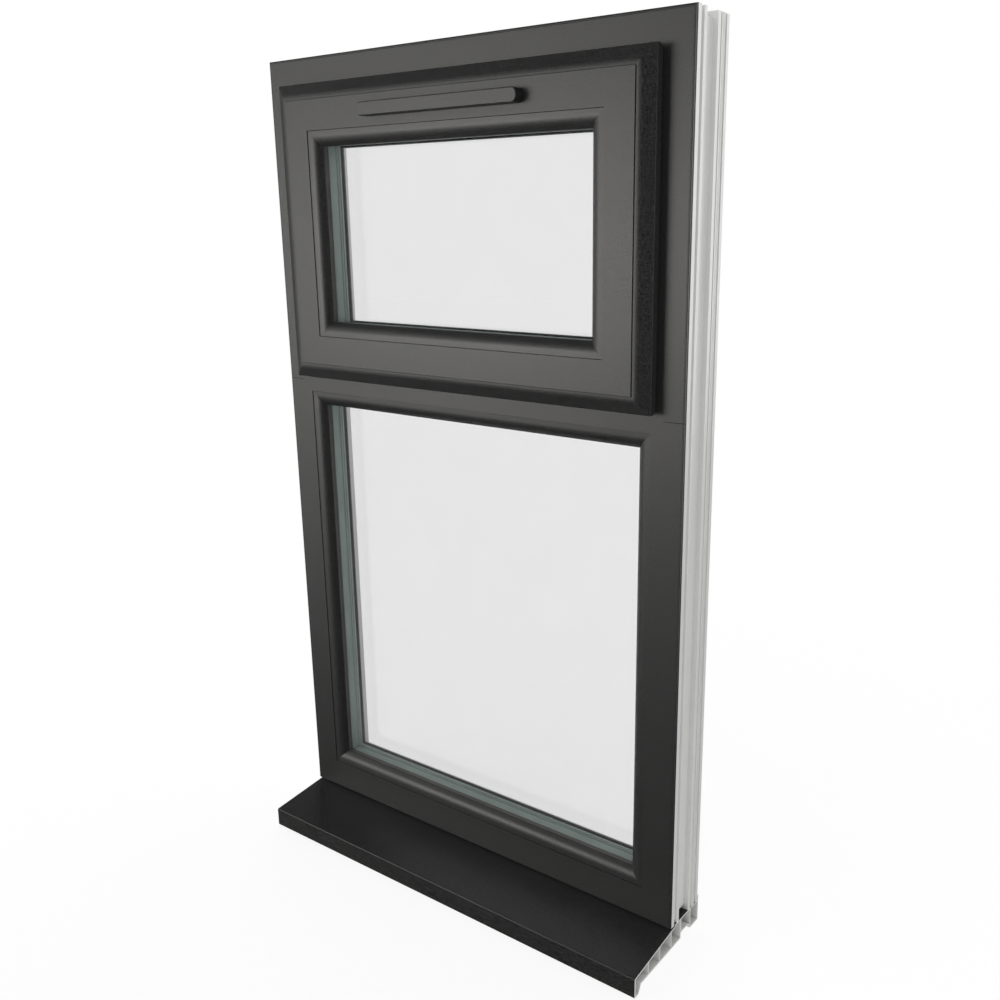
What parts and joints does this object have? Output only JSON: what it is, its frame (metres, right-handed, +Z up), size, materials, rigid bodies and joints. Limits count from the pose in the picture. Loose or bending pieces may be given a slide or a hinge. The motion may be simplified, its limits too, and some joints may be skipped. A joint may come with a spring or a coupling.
{
  "type": "top-hung casement window",
  "caption": "Top-hung vent window above a fixed light, foiled plastic frame, glazed panes, trickle vent and projecting cill.",
  "frame": {"origin": "middle of the cill's underside where it is bedded, on the plane of the outer frame's outside face", "axes": "+X to the right seen from outside, +Y from outside to inside, +Z up"},
  "size_m": [0.61, 0.1556, 1.049],
  "materials": {
    "anthracite_foil": "satin, fine wood-grain foil",
    "black_plastic": "satin",
    "white_pvc": "smooth",
    "galvanised": "galvanised",
    "float_glass": "clear",
    "spacer_bar": "mill",
    "edge_sealant": "matt",
    "grey_gasket": "matt",
    "black_seal": "matt",
    "packer_plastic": "matt",
    "stay_steel": "brushed",
    "shoe_plastic": "matt",
    "zinc_steel": "zinc plated",
    "handle_paint": "satin",
    "button_chrome": "polished"
  },
  "bodies": {
    "frame": {"frame_head": "anthracite_foil", "frame_bottom_rail": "anthracite_foil", "frame_jamb_left": "anthracite_foil", "frame_jamb_right": "anthracite_foil", "transom": "anthracite_foil", "steel_jamb_left": "galvanised", "steel_jamb_right": "galvanised", "steel_transom": "galvanised", "cill": "anthracite_foil", "fixed_bead_left": "anthracite_foil", "fixed_bead_right": "anthracite_foil", "fixed_bead_top": "anthracite_foil", "fixed_bead_bottom": "anthracite_foil", "fixed_outer_pane": "float_glass", "fixed_inner_pane": "float_glass", "fixed_spacer": "spacer_bar", "fixed_edge_seal": "edge_sealant", "fixed_outer_gasket": "grey_gasket", "fixed_inner_gasket": "grey_gasket", "fixed_packers": "packer_plastic", "frame_seal": "black_seal", "stay_track_left": "stay_steel", "stay_track_right": "stay_steel", "track_screws": "stay_steel", "lock_keeps": "stay_steel"},
    "sash": {"sash_top_rail": "anthracite_foil", "sash_bottom_rail": "anthracite_foil", "sash_stile_left": "anthracite_foil", "sash_stile_right": "anthracite_foil", "vent_bead_left": "anthracite_foil", "vent_bead_right": "anthracite_foil", "vent_bead_top": "anthracite_foil", "vent_bead_bottom": "anthracite_foil", "vent_outer_pane": "float_glass", "vent_inner_pane": "float_glass", "vent_spacer": "spacer_bar", "vent_edge_seal": "edge_sealant", "vent_outer_gasket": "grey_gasket", "vent_inner_gasket": "grey_gasket", "vent_packers": "packer_plastic", "sash_seal": "black_seal", "trickle_canopy": "black_plastic", "trickle_grille": "white_pvc", "stay_bar_left": "stay_steel", "stay_bar_right": "stay_steel", "bar_screws": "stay_steel", "lock_faceplate": "stay_steel", "lock_gearbox": "zinc_steel", "handle_base": "handle_paint", "handle_screws": "stay_steel"},
    "lever": {"handle_lever": "handle_paint", "handle_spindle": "zinc_steel", "lock_follower": "zinc_steel"},
    "button": {"handle_button": "button_chrome"},
    "lock_rod": {"lock_rod": "zinc_steel"},
    "vent_flap": {"trickle_flap": "white_pvc"},
    "arm_left": {"stay_arm_left": "stay_steel"},
    "arm_right": {"stay_arm_right": "stay_steel"},
    "shoe_left": {"stay_shoe_left": "shoe_plastic"},
    "shoe_right": {"stay_shoe_right": "shoe_plastic"}
  },
  "joints": [
    {"name": "sash_swing", "type": "hinge", "parent": "frame", "child": "sash", "pos_m": [0, -0.00432, 1.0055], "axis": [-1, 0, 0], "range_deg": [0, 35]},
    {"name": "arm_left_turn", "type": "hinge", "parent": "sash", "child": "arm_left", "pos_m": [-0.257, 0.025, 0.8985], "axis": [-1, 0, 0], "range_deg": [-54.66, 0]},
    {"name": "arm_right_turn", "type": "hinge", "parent": "sash", "child": "arm_right", "pos_m": [0.257, 0.025, 0.8985], "axis": [-1, 0, 0], "range_deg": [-54.66, 0]},
    {"name": "shoe_left_turn", "type": "hinge", "parent": "arm_left", "child": "shoe_left", "pos_m": [-0.261, 0.01874, 0.6956], "axis": [-1, 0, 0], "range_deg": [0, 19.66]},
    {"name": "shoe_right_turn", "type": "hinge", "parent": "arm_right", "child": "shoe_right", "pos_m": [0.261, 0.01874, 0.6956], "axis": [-1, 0, 0], "range_deg": [0, 19.66]},
    {"name": "lever_turn", "type": "hinge", "parent": "sash", "child": "lever", "pos_m": [0, 0.0523, 0.6885], "axis": [0, -1, 0], "range_deg": [0, 90]},
    {"name": "rod_slide", "type": "slide", "parent": "sash", "child": "lock_rod", "axis": [1, 0, 0], "range_m": [0, 0.0189]},
    {"name": "button_press", "type": "slide", "parent": "lever", "child": "button", "axis": [0, -1, 0], "range_m": [0, 0.0025], "stiffness_N_per_m": 400},
    {"name": "flap_turn", "type": "hinge", "parent": "sash", "child": "vent_flap", "pos_m": [0, 0.0485, 0.96252], "axis": [-1, 0, 0], "range_deg": [0, 45]}
  ],
  "couplings": [
    {"joint": "arm_left_turn", "follows": "sash_swing", "ratio": -1.5475},
    {"joint": "arm_right_turn", "follows": "sash_swing", "ratio": -1.5475},
    {"joint": "shoe_left_turn", "follows": "sash_swing", "ratio": 0.5475},
    {"joint": "shoe_right_turn", "follows": "sash_swing", "ratio": 0.5475},
    {"joint": "rod_slide", "follows": "lever_turn", "m_per_rad": 0.012}
  ]
}
